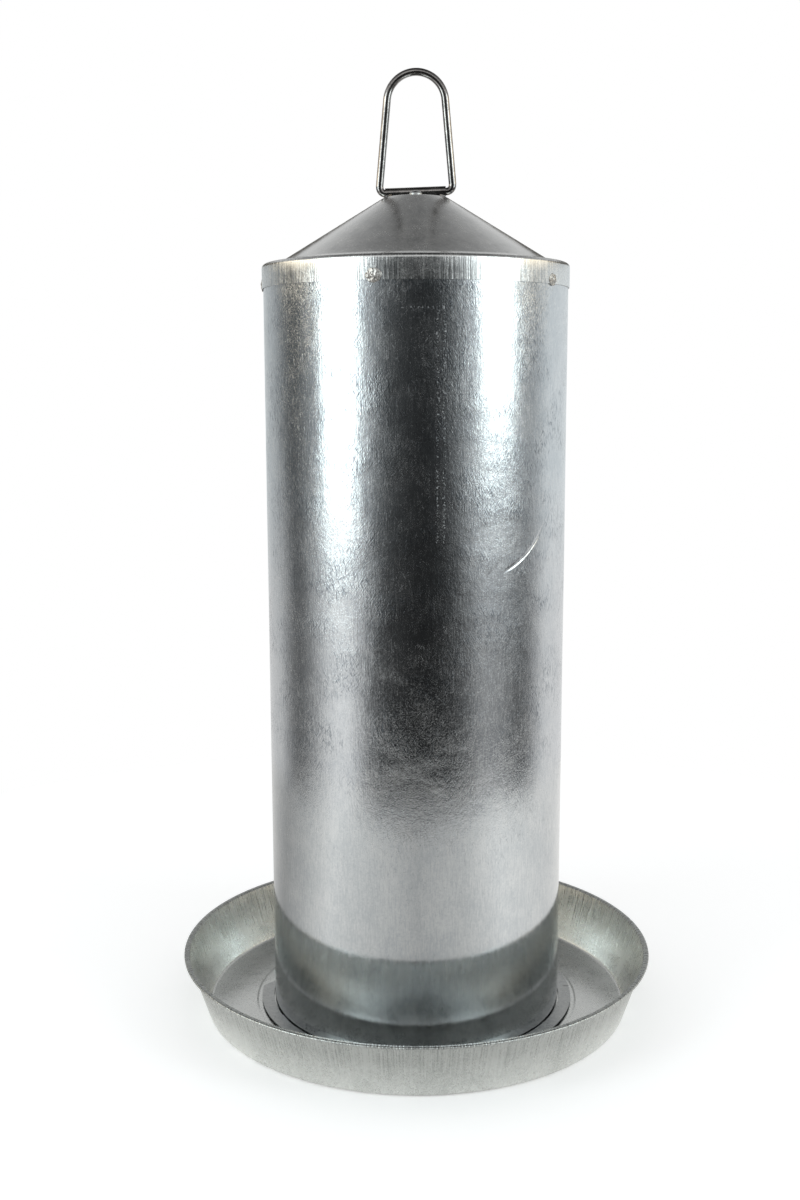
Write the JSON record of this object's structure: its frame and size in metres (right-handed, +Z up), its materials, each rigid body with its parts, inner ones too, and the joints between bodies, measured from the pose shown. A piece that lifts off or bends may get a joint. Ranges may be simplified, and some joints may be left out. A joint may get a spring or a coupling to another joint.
{
  "type": "metal poultry drinker",
  "caption": "Tall galvanised siphon drinker: a flared drinking pan, a lift-off cylindrical cover with conical cap, an inner water tank and a swinging wire handle.",
  "frame": {"origin": "on the ground under the drinker's axis", "axes": "+Z up along the drinker's axis, -Y towards the viewer, +X along the handle's bar"},
  "size_m": [0.35, 0.35, 0.6784],
  "materials": {
    "galvanised_pan": "dull galvanised sheet with drawing marks",
    "galvanised_rails": "galvanised sheet, sheared edges",
    "galvanised_tank": "galvanised sheet",
    "galvanised_cover": "bright galvanised sheet with scuffs",
    "galvanised_cap": "mottled galvanised sheet",
    "solder": "dull solder and weld",
    "strap_steel": "galvanised strap",
    "rivet_steel": "zinc plated rivet",
    "plated_wire": "bright plated round wire"
  },
  "bodies": {
    "base": {"pan": "galvanised_pan", "bayonet_rails": "galvanised_rails", "inner_tank": "galvanised_tank", "tank_seam_weld": "solder", "tank_foot_solder": "solder"},
    "cover": {"cover_cylinder": "galvanised_cover", "cover_seam_weld": "solder", "top_cap": "galvanised_cap", "cap_tacks": "solder", "cap_seal_bead": "solder", "handle_strap": "strap_steel", "handle_rivets": "rivet_steel", "rivet_washers": "rivet_steel"},
    "handle": {"handle_wire": "plated_wire"}
  },
  "joints": [
    {"name": "cover_twist", "type": "hinge", "parent": "base", "child": "cover", "pos_m": [0, 0, 0], "axis": [0, 0, 1], "range_deg": [-40, 0]},
    {"name": "handle_swing", "type": "hinge", "parent": "cover", "child": "handle", "pos_m": [0, 0, 0.5948], "axis": [0.9994, 0, 0.0349], "range_deg": [-100, 100]}
  ]
}
